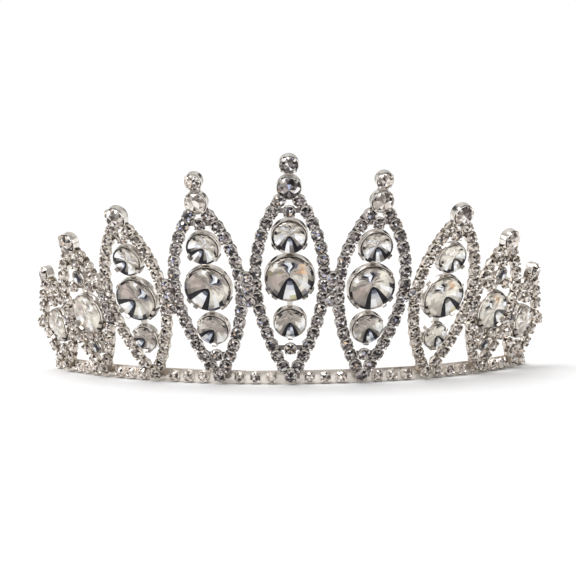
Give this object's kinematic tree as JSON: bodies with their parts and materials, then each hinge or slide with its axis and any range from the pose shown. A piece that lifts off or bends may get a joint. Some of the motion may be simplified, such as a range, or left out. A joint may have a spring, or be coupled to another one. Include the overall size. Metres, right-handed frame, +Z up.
{
  "type": "bridal tiara",
  "caption": "Curved band tiara with tall pointed-oval leaves of rhinestone chain, each holding large pointed crystals and topped by round stones.",
  "frame": {"origin": "middle of the band's underside at the front, half way through the band's thickness", "axes": "+Z up from the band's lower edge to the finials, -Y out of the front of the tiara, +X to the right-hand side seen from the front; the tiara is mirror-symmetric about the YZ plane"},
  "size_m": [0.1408, 0.067, 0.0594],
  "materials": {
    "band_metal": "bright silver plate, warm grey reflections",
    "frame_metal": "bright silver-plated cup chain",
    "setting_metal": "polished silver plate",
    "crystal_glass": "clear foil-backed cut glass, pointed front",
    "finial_glass": "clear foil-backed cut glass chatons"
  },
  "bodies": {
    "root": {"crystal_centre_lower": "crystal_glass", "crystal_centre_middle": "crystal_glass", "crystal_centre_upper": "crystal_glass", "crystal_left_1_lower": "crystal_glass", "crystal_left_1_middle": "crystal_glass", "crystal_left_1_upper": "crystal_glass", "crystal_left_2_lower": "crystal_glass", "crystal_left_2_middle": "crystal_glass", "crystal_left_2_upper": "crystal_glass", "crystal_left_3_lower": "crystal_glass", "crystal_left_3_middle": "crystal_glass", "crystal_left_3_upper": "crystal_glass", "crystal_left_4_middle": "crystal_glass", "crystal_right_1_lower": "crystal_glass", "crystal_right_1_middle": "crystal_glass", "crystal_right_1_upper": "crystal_glass", "crystal_right_2_lower": "crystal_glass", "crystal_right_2_middle": "crystal_glass", "crystal_right_2_upper": "crystal_glass", "crystal_right_3_lower": "crystal_glass", "crystal_right_3_middle": "crystal_glass", "crystal_right_3_upper": "crystal_glass", "crystal_right_4_middle": "crystal_glass", "finial_centre_lower": "finial_glass", "finial_centre_upper": "finial_glass", "finial_left_1_lower": "finial_glass", "finial_left_1_upper": "finial_glass", "finial_left_2": "finial_glass", "finial_left_3": "finial_glass", "finial_left_4": "finial_glass", "finial_right_1_lower": "finial_glass", "finial_right_1_upper": "finial_glass", "finial_right_2": "finial_glass", "finial_right_3": "finial_glass", "finial_right_4": "finial_glass", "frame_centre": "frame_metal", "frame_left_1": "frame_metal", "frame_left_2": "frame_metal", "frame_left_3": "frame_metal", "frame_left_4": "frame_metal", "frame_right_1": "frame_metal", "frame_right_2": "frame_metal", "frame_right_3": "frame_metal", "frame_right_4": "frame_metal", "headband": "band_metal", "setting_centre": "setting_metal", "setting_left_1": "setting_metal", "setting_left_2": "setting_metal", "setting_left_3": "setting_metal", "setting_left_4": "setting_metal", "setting_right_1": "setting_metal", "setting_right_2": "setting_metal", "setting_right_3": "setting_metal", "setting_right_4": "setting_metal"}
  },
  "joints": []
}
